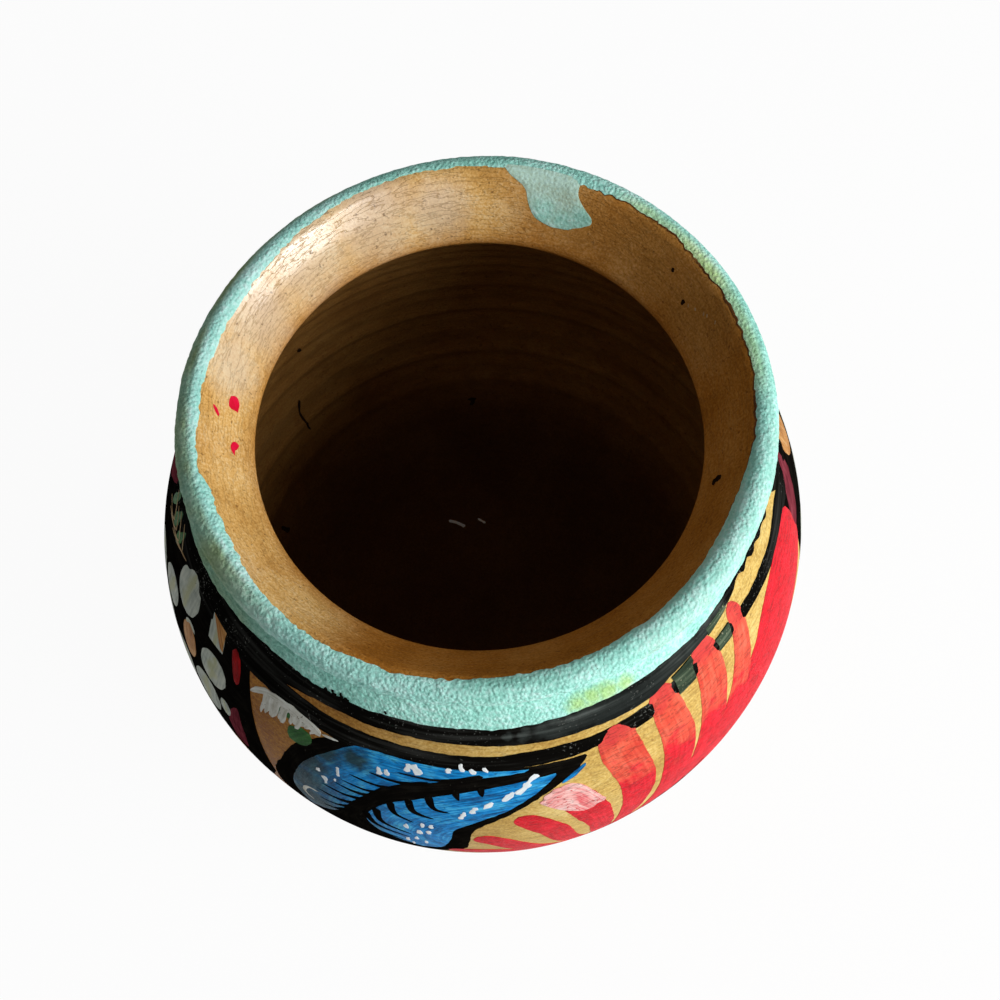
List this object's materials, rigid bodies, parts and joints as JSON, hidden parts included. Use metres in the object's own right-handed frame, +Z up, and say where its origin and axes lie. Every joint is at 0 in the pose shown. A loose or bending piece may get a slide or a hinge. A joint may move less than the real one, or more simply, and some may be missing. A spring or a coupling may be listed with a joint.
{
  "type": "vase",
  "caption": "Small round-bellied terracotta vase with a short flared neck, turquoise lip, black neck bands and folk brushwork; stands on its flat base and holds flowers or small things.",
  "frame": {"origin": "centre of the flat base, on the surface that the vase stands on", "axes": "+Z up along the turning axis; -Y is the side that faces the camera in the picture"},
  "size_m": [0.1232, 0.1232, 0.1088],
  "materials": {
    "terracotta": "unglazed ochre earthenware, wiped smooth, with a thin satin varnish",
    "turquoise_paint": "thick chalky coat with brush marks and a fine bumpy grain",
    "black_paint": "brushed, worn thin on the grain of the clay",
    "red_paint": "brush strokes, thin and orange at the start, crimson where they pile up",
    "blue_paint": "brush strokes, streaked lighter and darker",
    "green_paint": "brush strokes",
    "white_paint": "raised dabs"
  },
  "bodies": {
    "root": {"floor_slab": "terracotta", "foot_wall": "terracotta", "belly_wall": "terracotta", "shoulder_wall": "terracotta", "collar": "terracotta", "rim_coat": "turquoise_paint", "rim_coat_run": "turquoise_paint", "neck_band_upper": "black_paint", "neck_band_lower": "black_paint"}
  },
  "joints": []
}
